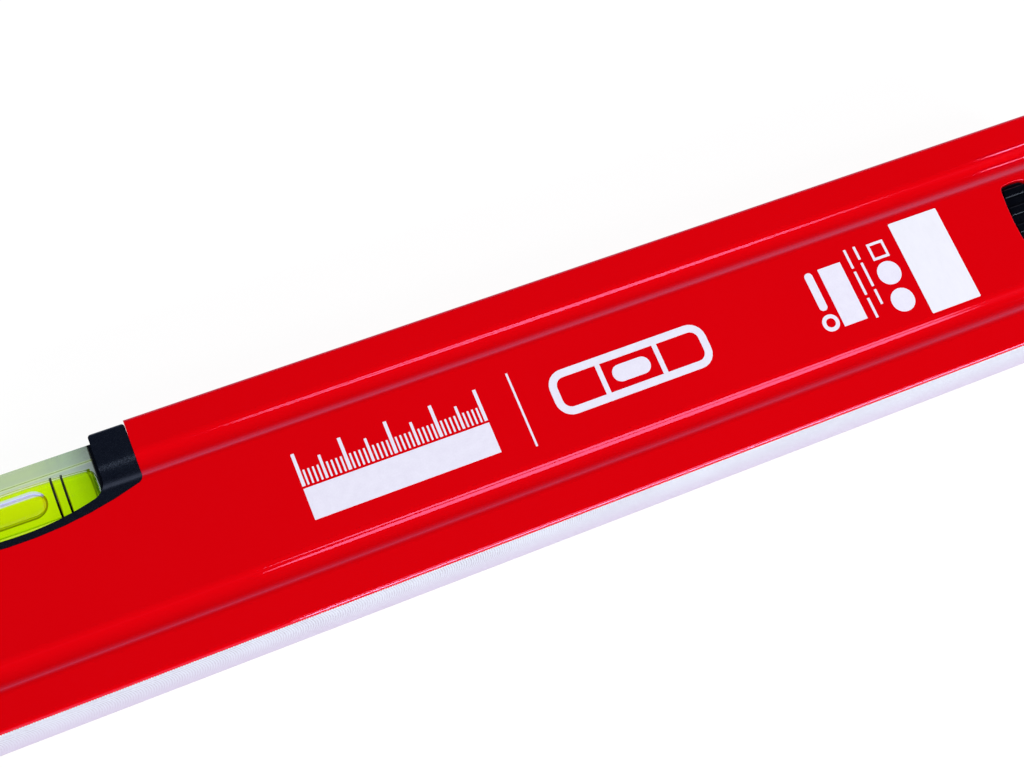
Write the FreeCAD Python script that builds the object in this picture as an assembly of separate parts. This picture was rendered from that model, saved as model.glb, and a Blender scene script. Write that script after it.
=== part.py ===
import FreeCAD, Part
import math
import os

# Aluminium spirit level: a hollow grooved profile with a level vial in its top edge,
# a plumb vial near its left end, and end caps held by pressed-in catches.
# +X runs along the level, +Y up its height, +Z out of its front face.
# The level lies on its back: the back face is on Z = 0 under the middle of the level,
# and the milled working face looks along -Y.

# Whole level
overall_length = 500.0
profile_height = 50.0
profile_depth = 23.0
# Every cut runs this far past what it cuts
overrun = 1.0
# Two places closer than this are the same place
same_place = 0.001

# Cross-section of the profile
side_wall = 1.8
top_wall = 2.0
base_wall = 3.2
top_edge_round = 0.75
base_edge_round = 1.3
milling_skim = 0.15
band_width = 7.25
groove_width = 5.25
groove_slope = 28.0
lip_round = 2.7
groove_round = 4.4
cavity_round = 0.4
# The groove's hollow round takes at most this share of each slope
groove_round_share = 0.95

# Notch for the level vial, with a bowed floor
notch_width = 50.0
notch_depth = 17.0
notch_bow = 4.0
notch_round = 1.5

# Fits between pieces that stay together
seat_gap = 0.04
fit_gap = 0.1
skin_inset = 0.1
inner_gap = 0.2

# Clear block and bore, alike in both vials
block_height = 14.0
block_depth = 15.5
block_round = 0.3
bore_mid_diameter = 9.2
bore_end_diameter = 7.65
dome_diameter = 6.6
dome_height = 1.0
plug_diameter = 6.0
plug_recess = 0.4
ring_width = 0.45
ring_thickness = 0.2
liquid_gap = 0.03

# Air bubble
bubble_width = 6.1
bubble_thickness = 2.5
bubble_rise = 2.1
bubble_gap = 0.3
bubble_stop_gap = 0.5

# Level vial
level_block_hold = 1.4
level_end_wall = 3.1
level_bubble_length = 12.8
level_ring_near = 8.1
level_ring_far = 10.2
level_block_drop = 1.44

# Level vial's cradle
cradle_drop = 0.6
cradle_edge_round = 0.6
cradle_corner_round = 0.9
cradle_cheek = 7.4
cradle_sill = 1.5
cradle_window_bow = 2.8
cradle_window_round = 3.5
retaining_lip = 0.55
retaining_lip_thickness = 1.6
retaining_lip_drop = 2.1
tub_wall = 1.5
barb_length = 1.1
barb_height = 2.4
barb_width = 9.0
peg_diameter = 2.8
peg_length = 3.0
peg_inset = 3.4

# Plumb vial
plumb_from_end = 62.0
plumb_window_width = 26.0
plumb_window_height = 38.6
plumb_window_bow = 0.8
plumb_window_round = 3.0
plumb_end_frame = 5.8
plumb_block_frame = 3.3
plumb_end_wall = 3.0
plumb_bubble_length = 10.6
plumb_ring_near = 6.8
plumb_ring_far = 8.9
plumb_peg_inset = 4.4
plumb_opening_width = 15.6
plumb_opening_bow = 0.6
plumb_opening_round = 2.2
ridge_height = 0.7
ridge_thickness = 1.4
ridge_length = 9.0

# End caps
bumper_thickness = 4.0
bumper_inset = 0.3
bumper_round = 1.2
bumper_rim = 1.4
bumper_corner_round = 2.0
cap_plate_thickness = 1.5
cap_plug_tail = 3.0
cap_plug_wall = 1.5
grip_rib_count = 5
grip_rib_width = 1.6
grip_rib_pitch = 7.0
grip_rib_height = 0.5

# Catches and their windows
catch_from_end = 24.2
catch_window_width = 8.6
catch_to_groove = 1.75
catch_side_bow = 1.0
catch_end_bow = 0.4
catch_window_round = 1.6
window_edge_round = 0.15
catch_gap = 0.2
catch_recess = 0.3
catch_flange = 1.1
catch_flange_thickness = 1.2
catch_travel = 2.0
catch_well_wall = 1.2
catch_rib_count = 5
catch_rib_width = 2.0
catch_rib_height = 0.5
catch_rib_margin = 0.35
catch_rib_round = 0.25
catch_head_round = 0.25

# Places worked out from the sizes above
top = profile_height / 2
base = -profile_height / 2
middle_depth = profile_depth / 2
profile_end = overall_length / 2 - bumper_thickness
groove_centre = top - band_width - groove_width / 2
groove_angle = math.radians(groove_slope)
level_axis = top - level_block_drop - block_height / 2
plumb_x = plumb_from_end - overall_length / 2
catch_x = overall_length / 2 - catch_from_end

# Sizes that follow from what the piece sits in
cradle_window_width = notch_width - 2 * cradle_cheek
cradle_window_depth = notch_depth - cradle_sill
level_block_length = cradle_window_width + 2 * level_block_hold
level_bore_length = level_block_length - 2 * level_end_wall
plumb_opening_height = plumb_window_height - 2 * plumb_end_frame
plumb_block_length = plumb_window_height - 2 * plumb_block_frame
plumb_bore_length = plumb_block_length - 2 * plumb_end_wall
catch_window_height = 2 * groove_centre - groove_width - 2 * catch_to_groove
catch_rib_pitch = catch_window_height / catch_rib_count
catch_well_reach = catch_flange + catch_gap + catch_well_wall
cap_plug_beyond_catch = catch_window_width / 2 + catch_well_reach + cap_plug_tail
cap_plug_length = catch_from_end - bumper_thickness + cap_plug_beyond_catch


def export(shape, name):
    """Write one piece, or one group of like pieces, as a STEP file."""
    shape.exportStep(f"parts/{name}.step")
    print(f"{name}: {len(shape.Solids)} solid(s), {shape.Volume:.1f} mm3")


def block(x_low, x_high, y_low, y_high, z_low, z_high):
    """Plain block between two places along each axis."""
    corner = FreeCAD.Vector(x_low, y_low, z_low)
    return Part.makeBox(x_high - x_low, y_high - y_low, z_high - z_low, corner)


def rounded_wire(corners):
    """Closed outline through (point, rounding) corners: straight runs and tangent arcs."""
    edges = []
    runs = []
    for index, (here, rounding) in enumerate(corners):
        before = corners[index - 1][0]
        after = corners[(index + 1) % len(corners)][0]
        back = (before - here).normalize()
        ahead = (after - here).normalize()
        half_angle = back.getAngle(ahead) / 2
        reach = rounding / math.tan(half_angle)
        start = here + back * reach
        end = here + ahead * reach
        runs.append((start, end))
        if rounding > 0:
            towards = (back + ahead).normalize()
            middle = here + towards * (rounding / math.sin(half_angle) - rounding)
            edges.append(Part.Arc(start, middle, end).toShape())
    for index, (start, end) in enumerate(runs):
        edges.append(Part.LineSegment(runs[index - 1][1], start).toShape())
    return Part.Wire(Part.__sortEdges__(edges))


def section_prism(side_inset, top_inset, base_inset, x_low, x_high, top_rounding, base_rounding):
    """Length of the profile's cross-section, set in by its own amount at the sides, top and base."""
    lip = groove_width / 2 + side_inset * math.tan(groove_angle / 2)
    meeting = lip * math.tan(groove_angle)
    lip_rounding = max(lip_round - side_inset, cavity_round)
    room = lip / math.cos(groove_angle) - lip_rounding * math.tan(groove_angle / 2)
    floor_rounding = min(
        groove_round + side_inset, groove_round_share * room / math.tan(groove_angle))
    front = profile_depth - side_inset
    back = side_inset
    upper = top - top_inset
    lower = base + base_inset
    corners = [(upper, front, top_rounding)]
    for centre in (groove_centre, -groove_centre):
        corners.append((centre + lip, front, lip_rounding))
        corners.append((centre, front - meeting, floor_rounding))
        corners.append((centre - lip, front, lip_rounding))
    corners.append((lower, front, base_rounding))
    corners.append((lower, back, base_rounding))
    for centre in (-groove_centre, groove_centre):
        corners.append((centre - lip, back, lip_rounding))
        corners.append((centre, back + meeting, floor_rounding))
        corners.append((centre + lip, back, lip_rounding))
    corners.append((upper, back, top_rounding))
    points = [(FreeCAD.Vector(x_low, y, z), rounding) for y, z, rounding in corners]
    return Part.Face(rounded_wire(points)).extrude(FreeCAD.Vector(x_high - x_low, 0, 0))


def inner_prism(gap, x_low, x_high):
    """What fits inside the profile's cavity with a gap all round."""
    return section_prism(
        side_wall + gap, top_wall + gap, base_wall + gap, x_low, x_high, cavity_round, cavity_round)


def bowed_side(start, end, bow):
    """Side of an outline that runs anticlockwise, swelling outwards by its bow."""
    if bow == 0:
        return Part.LineSegment(start, end).toShape()
    along = (end - start).normalize()
    outwards = FreeCAD.Vector(along.y, -along.x, 0)
    return Part.Arc(start, (start + end) / 2 + outwards * bow, end).toShape()


def upright_prism(corners, z_low, z_high):
    """Prism along Z on anticlockwise corners (x, y, rounding, bow of the side that starts there)."""
    points = [FreeCAD.Vector(x, y, z_low) for x, y, rounding, bow in corners]
    sides = []
    for index, point in enumerate(points):
        after = points[(index + 1) % len(points)]
        sides.append(bowed_side(point, after, corners[index][3]))
    solid = Part.Face(Part.Wire(sides)).extrude(FreeCAD.Vector(0, 0, z_high - z_low))
    for x, y, rounding, bow in corners:
        if rounding > 0:
            solid = round_upright(solid, x, y, rounding)
    return solid


def round_upright(solid, x, y, rounding):
    """Round the edge that stands along Z at one place."""
    chosen = []
    for edge in solid.Edges:
        first = edge.Vertexes[0].Point
        last = edge.Vertexes[-1].Point
        here = math.hypot(first.x - x, first.y - y) < same_place
        if here and math.hypot(last.x - x, last.y - y) < same_place and abs(last.z - first.z) > same_place:
            chosen.append(edge)
    return solid.makeFillet(rounding, chosen)


def bowed_window(width, height, side_bow, end_bow, rounding, centre_x, z_low, z_high):
    """Prism with a swelling rectangular outline, width and height taken over its bows."""
    half_x = width / 2 - side_bow
    half_y = height / 2 - end_bow
    corners = [
        (centre_x - half_x, -half_y, rounding, end_bow),
        (centre_x + half_x, -half_y, rounding, side_bow),
        (centre_x + half_x, half_y, rounding, end_bow),
        (centre_x - half_x, half_y, rounding, side_bow)]
    return upright_prism(corners, z_low, z_high)


def mirrored(solid, normal, place):
    """The solid seen in a mirror whose face has this normal, at this place."""
    return solid.mirror(place, normal)


def front_to_back(solid):
    """The same piece on the other side of the level's middle plane."""
    return mirrored(solid, FreeCAD.Vector(0, 0, 1), FreeCAD.Vector(0, 0, middle_depth))


def right_to_left(solid):
    """The same piece at the other end of the level."""
    return mirrored(solid, FreeCAD.Vector(1, 0, 0), FreeCAD.Vector(0, 0, 0))


def notch_outline(gap, upper, rounding, z_low, z_high):
    """Bowed outline of the notch, or of what sits in it with a gap."""
    half = notch_width / 2 - gap
    shoulder = top - notch_depth + notch_bow + gap
    corners = [
        (-half, shoulder, notch_round, notch_bow),
        (half, shoulder, notch_round, 0),
        (half, upper, rounding, 0),
        (-half, upper, rounding, 0)]
    return upright_prism(corners, z_low, z_high)


def catch_outline(gap, z_low, z_high):
    """Outline of a catch's window, or of the catch's head with a gap."""
    return bowed_window(
        catch_window_width - 2 * gap, catch_window_height - 2 * gap, catch_side_bow, catch_end_bow,
        catch_window_round, catch_x, z_low, z_high)


def round_window_rim(solid, centre_x, z_face):
    """Ease the punched rim of a catch window on one face of the profile."""
    rim = []
    for edge in solid.Edges:
        box = edge.BoundBox
        in_face = abs(box.ZMin - z_face) < same_place and abs(box.ZMax - z_face) < same_place
        beside = abs(box.Center.x - centre_x) < catch_window_width / 2 + same_place
        if in_face and beside and abs(box.Center.y) < catch_window_height / 2 + same_place:
            rim.append(edge)
    return solid.makeFillet(window_edge_round, rim)


def make_profile():
    """Hollow extrusion with its notch, its windows and its milled working face."""
    low = -profile_end
    high = profile_end
    skin = section_prism(0, 0, -milling_skim, low, high, top_edge_round, base_edge_round)
    cavity = inner_prism(0, low - overrun, high + overrun)
    z_low = -overrun
    z_high = profile_depth + overrun
    skimmed = block(
        low - overrun, high + overrun, base - milling_skim - overrun, base, z_low, z_high)
    notch = notch_outline(0, top + overrun, 0, z_low, z_high)
    plumb_window = bowed_window(
        plumb_window_width, plumb_window_height, plumb_window_bow, plumb_window_bow,
        plumb_window_round, plumb_x, z_low, z_high)
    right_window = catch_outline(0, z_low, z_high)
    profile = skin
    for cutter in (cavity, skimmed, notch, plumb_window, right_window, right_to_left(right_window)):
        profile = profile.cut(cutter)
    for centre_x in (catch_x, -catch_x):
        for z_face in (0, profile_depth):
            profile = round_window_rim(profile, centre_x, z_face)
    return profile


def bore_radius(along, bore_length):
    """Radius of the barrel-shaped bore at a distance from its middle."""
    swell = (bore_mid_diameter - bore_end_diameter) / 2
    bend = ((bore_length / 2) ** 2 + swell ** 2) / (2 * swell)
    return bore_mid_diameter / 2 - bend + math.sqrt(bend ** 2 - along ** 2)


def bore_solid(bore_length, shrink):
    """Barrel bore along X about the origin, its far end domed, smaller all round by shrink."""
    half = bore_length / 2 - shrink
    end_radius = bore_end_diameter / 2 - shrink
    dome_radius = dome_diameter / 2 - shrink
    tip = half + dome_height
    points = {
        "axis_left": FreeCAD.Vector(-half, 0, 0),
        "left": FreeCAD.Vector(-half, end_radius, 0),
        "middle": FreeCAD.Vector(0, bore_mid_diameter / 2 - shrink, 0),
        "right": FreeCAD.Vector(half, end_radius, 0),
        "dome_foot": FreeCAD.Vector(half, dome_radius, 0),
        "dome_tip": FreeCAD.Vector(tip, 0, 0)}
    dome_bend = (dome_radius ** 2 + dome_height ** 2) / (2 * dome_height)
    dome_centre = tip - dome_bend
    half_angle = math.asin(dome_radius / dome_bend) / 2
    dome_side = FreeCAD.Vector(
        dome_centre + dome_bend * math.cos(half_angle), dome_bend * math.sin(half_angle), 0)
    edges = [
        Part.LineSegment(points["axis_left"], points["left"]).toShape(),
        Part.Arc(points["left"], points["middle"], points["right"]).toShape(),
        Part.LineSegment(points["right"], points["dome_foot"]).toShape(),
        Part.Arc(points["dome_foot"], dome_side, points["dome_tip"]).toShape(),
        Part.LineSegment(points["dome_tip"], points["axis_left"]).toShape()]
    face = Part.Face(Part.Wire(edges))
    return face.revolve(FreeCAD.Vector(0, 0, 0), FreeCAD.Vector(1, 0, 0), 360)


def rod(radius, x_low, x_high):
    """Round rod along X about the origin."""
    return Part.makeCylinder(radius, x_high - x_low, FreeCAD.Vector(x_low, 0, 0), FreeCAD.Vector(1, 0, 0))


def make_rings(bore_length, places):
    """Reading rings let into the bore's wall, flush with it."""
    rings = []
    for place in places:
        inner = bore_radius(place, bore_length)
        for centre in (-place, place):
            low = centre - ring_width / 2
            high = centre + ring_width / 2
            outer_rod = rod(inner + ring_thickness, low, high)
            rings.append(outer_rod.cut(rod(inner, low - overrun, high + overrun)))
    return Part.Compound(rings)


def make_bubble(length):
    """Long bubble along X: round ends, flattened towards the front wall of the bore."""
    radius = bubble_width / 2
    straight = length / 2 - radius
    foot = FreeCAD.Vector(-straight, radius, 0)
    head = FreeCAD.Vector(straight, radius, 0)
    diagonal = radius * math.sqrt(1 / 2)
    left_tip = FreeCAD.Vector(-length / 2, 0, 0)
    right_tip = FreeCAD.Vector(length / 2, 0, 0)
    edges = [
        Part.Arc(left_tip, FreeCAD.Vector(-straight - diagonal, diagonal, 0), foot),
        Part.LineSegment(foot, head),
        Part.Arc(head, FreeCAD.Vector(straight + diagonal, diagonal, 0), right_tip),
        Part.LineSegment(right_tip, left_tip)]
    face = Part.Face(Part.Wire([edge.toShape() for edge in edges]))
    round_bubble = face.revolve(FreeCAD.Vector(0, 0, 0), FreeCAD.Vector(1, 0, 0), 360)
    flatten = FreeCAD.Matrix()
    flatten.scale(1, 1, bubble_thickness / bubble_width)
    bubble = round_bubble.transformGeometry(flatten)
    bubble.translate(FreeCAD.Vector(0, 0, bubble_rise))
    return bubble


def make_vial(block_length, bore_length, bubble_length, ring_places):
    """Pieces of one vial, its bore along X through the origin and its bubble towards +Z."""
    half = block_length / 2
    side = block_height / 2
    body = block(-half, half, -side, side, -block_depth / 2, block_depth / 2)
    body = body.makeFillet(block_round, body.Edges)
    rings = make_rings(bore_length, ring_places)
    body = body.cut(bore_solid(bore_length, 0))
    body = body.cut(rod(plug_diameter / 2, -half - overrun, 0))
    for ring in rings.Solids:
        body = body.cut(ring)
    plug = rod(plug_diameter / 2 - liquid_gap, plug_recess - half, -bore_length / 2)
    bubble_travel = (bore_length - bubble_length) / 2 - bubble_stop_gap
    print(f"bubble {bubble_length} mm long: travel {bubble_travel:.2f} mm each way")
    liquid_level = bubble_rise - bubble_thickness / 2 - bubble_gap
    lower_part = block(-half, half, -side, side, -block_depth / 2, liquid_level)
    liquid = bore_solid(bore_length, liquid_gap).common(lower_part)
    return {
        "vial_block": body, "vial_plug": plug, "vial_liquid": liquid,
        "vial_bubble": make_bubble(bubble_length), "vial_rings": rings}


def set_level(shape):
    """Move a vial piece to the level vial's place."""
    placed = shape.copy()
    placed.translate(FreeCAD.Vector(0, level_axis, middle_depth))
    return placed


def set_plumb(shape):
    """Stand a vial piece upright and move it to the plumb vial's place."""
    placed = shape.copy()
    placed.rotate(FreeCAD.Vector(0, 0, 0), FreeCAD.Vector(0, 0, 1), 90)
    placed.translate(FreeCAD.Vector(plumb_x, 0, middle_depth))
    return placed


def cradle_window(width, z_low, z_high):
    """Window through the cradle, open at the top, with a bowed sill."""
    half = width / 2
    sill_end = top - cradle_window_depth + cradle_window_bow
    corners = [
        (-half, sill_end, cradle_window_round, cradle_window_bow),
        (half, sill_end, cradle_window_round, 0),
        (half, top + overrun, 0, 0),
        (-half, top + overrun, 0, 0)]
    return upright_prism(corners, z_low - overrun, z_high + overrun)


def cradle_plate(window_width, z_low, z_high):
    """Layer of the cradle between two depths: the notch's outline less the window."""
    upper = top - cradle_drop
    plate = notch_outline(seat_gap, upper, cradle_corner_round, z_low, z_high)
    plate = plate.cut(cradle_window(window_width, z_low, z_high))
    for x in (-window_width / 2, window_width / 2):
        plate = round_upright(plate, x, upper, cradle_corner_round)
    return plate


def cradle_barb():
    """Wedge on the right cheek that catches under the profile's top wall."""
    root = notch_width / 2 - seat_gap - overrun
    edge = notch_width / 2 - seat_gap
    upper = top - top_wall - inner_gap
    corners = [
        (root, upper - barb_height, 0, 0), (edge, upper - barb_height, 0, 0),
        (edge + barb_length, upper, 0, 0), (root, upper, 0, 0)]
    return upright_prism(corners, middle_depth - barb_width / 2, middle_depth + barb_width / 2)


def make_level_housings():
    """Front and back halves of the cradle that holds the level vial in the notch."""
    lip_depth = block_depth / 2 + fit_gap + retaining_lip_thickness
    z_back_lip = middle_depth - lip_depth
    z_front_lip = middle_depth + lip_depth
    half_notch = notch_width / 2
    narrow = cradle_window_width - 2 * retaining_lip
    lips = cradle_plate(narrow, z_back_lip, z_front_lip).common(
        block(-half_notch, half_notch, base, top - retaining_lip_drop, 0, profile_depth))
    skin = section_prism(
        skin_inset, cradle_drop, base_wall, -half_notch, half_notch, cradle_edge_round, cradle_edge_round)
    cradle = cradle_plate(cradle_window_width, 0, profile_depth).fuse(lips).common(skin)
    pocket_half = level_block_length / 2 + fit_gap
    pocket_floor = level_axis - block_height / 2 - fit_gap
    tub_half = pocket_half + tub_wall
    tub = inner_prism(inner_gap, -tub_half, tub_half).common(
        block(-tub_half, tub_half, pocket_floor - tub_wall, level_axis, 0, profile_depth))
    tub = tub.cut(cradle_window(narrow, 0, profile_depth))
    barb = cradle_barb()
    cradle = cradle.fuse(tub).fuse(barb).fuse(right_to_left(barb))
    pocket = block(
        -pocket_half, pocket_half, pocket_floor, top + overrun,
        middle_depth - block_depth / 2 - fit_gap, middle_depth + block_depth / 2 + fit_gap)
    cradle = cradle.cut(pocket).removeSplitter()
    pegs = [(notch_width / 2 - peg_inset, level_axis), (peg_inset - notch_width / 2, level_axis)]
    return split_housing(cradle, pegs)


def split_housing(housing, pegs):
    """Front and back halves of a housing, located by pegs on the front half."""
    box = housing.BoundBox
    halves = []
    for z_low, z_high in ((middle_depth, box.ZMax), (box.ZMin, middle_depth)):
        keep = block(
            box.XMin - overrun, box.XMax + overrun, box.YMin - overrun, box.YMax + overrun, z_low, z_high)
        halves.append(housing.common(keep))
    front, back = halves
    for x, y in pegs:
        foot = FreeCAD.Vector(x, y, middle_depth - peg_length)
        peg = Part.makeCylinder(peg_diameter / 2, peg_length + overrun, foot)
        socket_foot = FreeCAD.Vector(x, y, middle_depth - peg_length - fit_gap)
        socket = Part.makeCylinder(peg_diameter / 2 + fit_gap, peg_length + fit_gap + overrun, socket_foot)
        front = front.fuse(peg)
        back = back.cut(socket)
    return front.removeSplitter(), back.removeSplitter()


def plumb_ridge():
    """Pair of snap ridges on the front half's sides, just behind the profile's front wall."""
    reach = plumb_window_width / 2 - seat_gap + ridge_height
    root = plumb_window_width / 2 - plumb_window_bow - ridge_thickness
    z_high = profile_depth - side_wall - fit_gap
    ridges = []
    for x_low, x_high in ((plumb_x - reach, plumb_x - root), (plumb_x + root, plumb_x + reach)):
        ridges.append(block(
            x_low, x_high, -ridge_length / 2, ridge_length / 2, z_high - ridge_thickness, z_high))
    return Part.Compound(ridges)


def make_plumb_housings():
    """Front and back halves of the housing that holds the plumb vial in its window."""
    gap = seat_gap
    outline = bowed_window(
        plumb_window_width - 2 * gap, plumb_window_height - 2 * gap, plumb_window_bow, plumb_window_bow,
        plumb_window_round, plumb_x, 0, profile_depth)
    half_window = plumb_window_width / 2 + overrun
    skin = section_prism(
        skin_inset, 0, 0, plumb_x - half_window, plumb_x + half_window,
        cradle_edge_round, cradle_edge_round)
    opening = bowed_window(
        plumb_opening_width, plumb_opening_height, plumb_opening_bow, plumb_opening_bow,
        plumb_opening_round, plumb_x, -overrun, profile_depth + overrun)
    side = block_height / 2 + fit_gap
    reach = block_depth / 2 + fit_gap
    pocket_half = plumb_block_length / 2 + fit_gap
    pocket = block(
        plumb_x - side, plumb_x + side, -pocket_half, pocket_half,
        middle_depth - reach, middle_depth + reach)
    housing = outline.common(skin).cut(opening).cut(pocket)
    for ridge in (plumb_ridge(), front_to_back(plumb_ridge())):
        housing = housing.fuse(ridge)
    peg_x = plumb_window_width / 2 - plumb_peg_inset
    peg_y = plumb_window_height / 2 - plumb_peg_inset
    return split_housing(housing, [(plumb_x - peg_x, peg_y), (plumb_x + peg_x, -peg_y)])


def catch_flange_prism(gap, z_low, z_high):
    """Plate behind a catch's head, wider than its window, or the well round it with a gap."""
    reach = catch_flange + gap
    return bowed_window(
        catch_window_width + 2 * reach, catch_window_height + 2 * reach, catch_side_bow, catch_end_bow,
        catch_window_round + reach, catch_x, z_low, z_high)


def edges_at_depth(solid, z):
    """Edges that lie in the plane at one depth."""
    return [
        edge for edge in solid.Edges
        if abs(edge.BoundBox.ZMin - z) < same_place and abs(edge.BoundBox.ZMax - z) < same_place]


def catch_rib(centre, z_low, z_high):
    """Bar across the catch's head, its long top edges rounded."""
    low = centre - catch_rib_width / 2
    high = centre + catch_rib_width / 2
    x_low = catch_x - catch_window_width / 2
    corners = [
        (low, z_low, 0), (high, z_low, 0), (high, z_high, catch_rib_round), (low, z_high, catch_rib_round)]
    points = [(FreeCAD.Vector(x_low, y, z), rounding) for y, z, rounding in corners]
    return Part.Face(rounded_wire(points)).extrude(FreeCAD.Vector(catch_window_width, 0, 0))


def make_catch():
    """Right front catch: ribbed head in its window, on a flange kept in by the wall."""
    outer = profile_depth - catch_recess
    valley = outer - catch_rib_height
    flange_top = profile_depth - side_wall - catch_gap
    flange_low = flange_top - catch_flange_thickness
    head = catch_outline(catch_gap, flange_low, valley)
    head = head.makeFillet(catch_head_round, edges_at_depth(head, valley))
    rib_ends = catch_outline(catch_gap + catch_rib_margin, flange_low, outer)
    for index in range(catch_rib_count):
        centre = (index - (catch_rib_count - 1) / 2) * catch_rib_pitch
        head = head.fuse(catch_rib(centre, flange_low, outer).common(rib_ends))
    return head.fuse(catch_flange_prism(0, flange_low, flange_top)).removeSplitter()


def make_cap_core():
    """Right cap's stiff plug, with a well behind each window that guides a catch."""
    inner_end = profile_end - cap_plug_length
    plug = inner_prism(inner_gap, inner_end, profile_end)
    hollow = inner_prism(inner_gap + cap_plug_wall, inner_end - overrun, profile_end - cap_plug_wall)
    flange_low = profile_depth - side_wall - catch_gap - catch_flange_thickness
    well_floor = flange_low - catch_travel - catch_gap
    well_low = well_floor - catch_well_wall
    half_width = catch_window_width / 2 + catch_well_reach
    half_height = catch_window_height / 2 + catch_well_reach
    well_wall = block(
        catch_x - half_width, catch_x + half_width, -half_height, half_height, well_low, profile_depth)
    well = catch_flange_prism(catch_gap, well_floor, profile_depth + overrun)
    core = plug.cut(hollow)
    solid_plug = inner_prism(inner_gap, inner_end, profile_end)
    for turned in (well_wall, front_to_back(well_wall)):
        core = core.fuse(turned.common(solid_plug))
    core = core.cut(well).cut(front_to_back(well))
    plate = section_block(bumper_inset + bumper_rim, profile_end, profile_end + cap_plate_thickness)
    return core.fuse(plate).removeSplitter()


def section_block(inset, x_low, x_high):
    """Plain block as high and deep as the profile, less an inset, between two lengths."""
    return block(x_low, x_high, base + inset, top - inset, inset, profile_depth - inset)


def make_cap_bumper():
    """Right cap's rubber end: a rounded block round the core's plate, with grip ribs on its end."""
    face = overall_length / 2 - grip_rib_height
    bumper = section_block(bumper_inset, profile_end, face)
    long_edges = [edge for edge in bumper.Edges if edge.BoundBox.XLength > same_place]
    bumper = bumper.makeFillet(bumper_corner_round, long_edges)
    end_edges = [edge for edge in bumper.Edges if edge.BoundBox.XMin > face - same_place]
    bumper = bumper.makeFillet(bumper_round, end_edges)
    for index in range(grip_rib_count):
        centre = (index - (grip_rib_count - 1) / 2) * grip_rib_pitch
        rib_inset = bumper_inset + bumper_round + grip_rib_width
        rib = block(
            face - grip_rib_height, overall_length / 2, centre - grip_rib_width / 2,
            centre + grip_rib_width / 2, rib_inset, profile_depth - rib_inset)
        bumper = bumper.fuse(rib)
    recess = section_block(
        bumper_inset + bumper_rim - fit_gap, profile_end - overrun, profile_end + cap_plate_thickness)
    return bumper.cut(recess).removeSplitter()


def main():
    """Build every piece and write it."""
    os.makedirs("parts", exist_ok=True)
    export(make_profile(), "profile")
    front, back = make_level_housings()
    export(front, "level_housing_front")
    export(back, "level_housing_back")
    level_vial = make_vial(
        level_block_length, level_bore_length, level_bubble_length, (level_ring_near, level_ring_far))
    for name, shape in level_vial.items():
        export(set_level(shape), f"level_{name}")
    front, back = make_plumb_housings()
    export(front, "plumb_housing_front")
    export(back, "plumb_housing_back")
    plumb_vial = make_vial(
        plumb_block_length, plumb_bore_length, plumb_bubble_length, (plumb_ring_near, plumb_ring_far))
    for name, shape in plumb_vial.items():
        export(set_plumb(shape), f"plumb_{name}")
    core = make_cap_core()
    bumper = make_cap_bumper()
    catch = make_catch()
    right_end = {
        "cap_core": core, "cap_bumper": bumper, "catch_front": catch, "catch_back": front_to_back(catch)}
    for name, shape in right_end.items():
        export(shape, f"right_{name}")
        export(right_to_left(shape), f"left_{name}")


main()
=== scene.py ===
import math

import bmesh
import bpy
from mathutils import Matrix, Vector


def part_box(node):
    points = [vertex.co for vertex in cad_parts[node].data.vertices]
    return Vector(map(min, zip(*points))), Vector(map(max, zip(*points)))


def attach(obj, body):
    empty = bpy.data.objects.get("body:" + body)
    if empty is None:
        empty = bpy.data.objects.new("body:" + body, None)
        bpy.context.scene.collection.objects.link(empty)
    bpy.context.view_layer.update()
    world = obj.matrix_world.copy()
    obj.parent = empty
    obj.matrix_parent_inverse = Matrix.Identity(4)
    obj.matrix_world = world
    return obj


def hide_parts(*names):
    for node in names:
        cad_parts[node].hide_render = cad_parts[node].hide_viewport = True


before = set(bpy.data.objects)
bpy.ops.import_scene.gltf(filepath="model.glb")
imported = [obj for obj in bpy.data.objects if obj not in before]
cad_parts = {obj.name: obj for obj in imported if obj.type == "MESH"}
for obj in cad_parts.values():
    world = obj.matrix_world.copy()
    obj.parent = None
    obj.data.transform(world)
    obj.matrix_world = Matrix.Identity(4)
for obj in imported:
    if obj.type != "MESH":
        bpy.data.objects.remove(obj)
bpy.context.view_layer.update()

# %% [markdown]
# A spirit level in gloss red, lying on its back.
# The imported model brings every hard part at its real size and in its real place.
# What is left for this file is how things look: the coating and the milled metal, the black
# mouldings, the clear vial with its liquid and bubble, the white marks on the face, and the light.
# Blender counts in metres, so one named value turns millimetres into metres.

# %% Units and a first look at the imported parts
MM = 0.001
body_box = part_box("profile")
face_z = body_box[1].z
top_y = body_box[1].y
working_y = body_box[0].y
print("profile from", [round(v / MM, 2) for v in body_box[0]], "to", [round(v / MM, 2) for v in body_box[1]])

# %% [markdown]
# The camera comes first, because every later choice is judged through it.
# The photograph looks down on the front face from the working-face side. The camera is placed by
# where it stands, the point of the face that it looks at, and how far it is rolled about its own axis.
# Its focal length was measured in pixels of the photograph, which is 1024 pixels wide.

# %% Camera
photo_width = 1024
focal_pixels = 1583.26
sensor_width = 36.0
near_limit = 10 * MM
camera_place = Vector((21.7, -77.8, 326.6)) * MM
camera_aim = Vector((100.5, 5.28, 23.0)) * MM
camera_roll = math.radians(22.06)

lens = bpy.data.cameras.new("camera")
lens.sensor_width = sensor_width
lens.lens = sensor_width * focal_pixels / photo_width
lens.clip_start = near_limit
camera = bpy.data.objects.new("camera", lens)
scene = bpy.context.scene
scene.collection.objects.link(camera)
turn = (camera_aim - camera_place).to_track_quat("-Z", "Y").to_matrix()
camera.matrix_world = Matrix.Translation(camera_place) @ (
    turn @ Matrix.Rotation(camera_roll, 3, "Z")).to_4x4()
scene.camera = camera
print("lens", round(lens.lens, 2), "mm, camera height", round(camera_place.z / MM), "mm")

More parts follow.
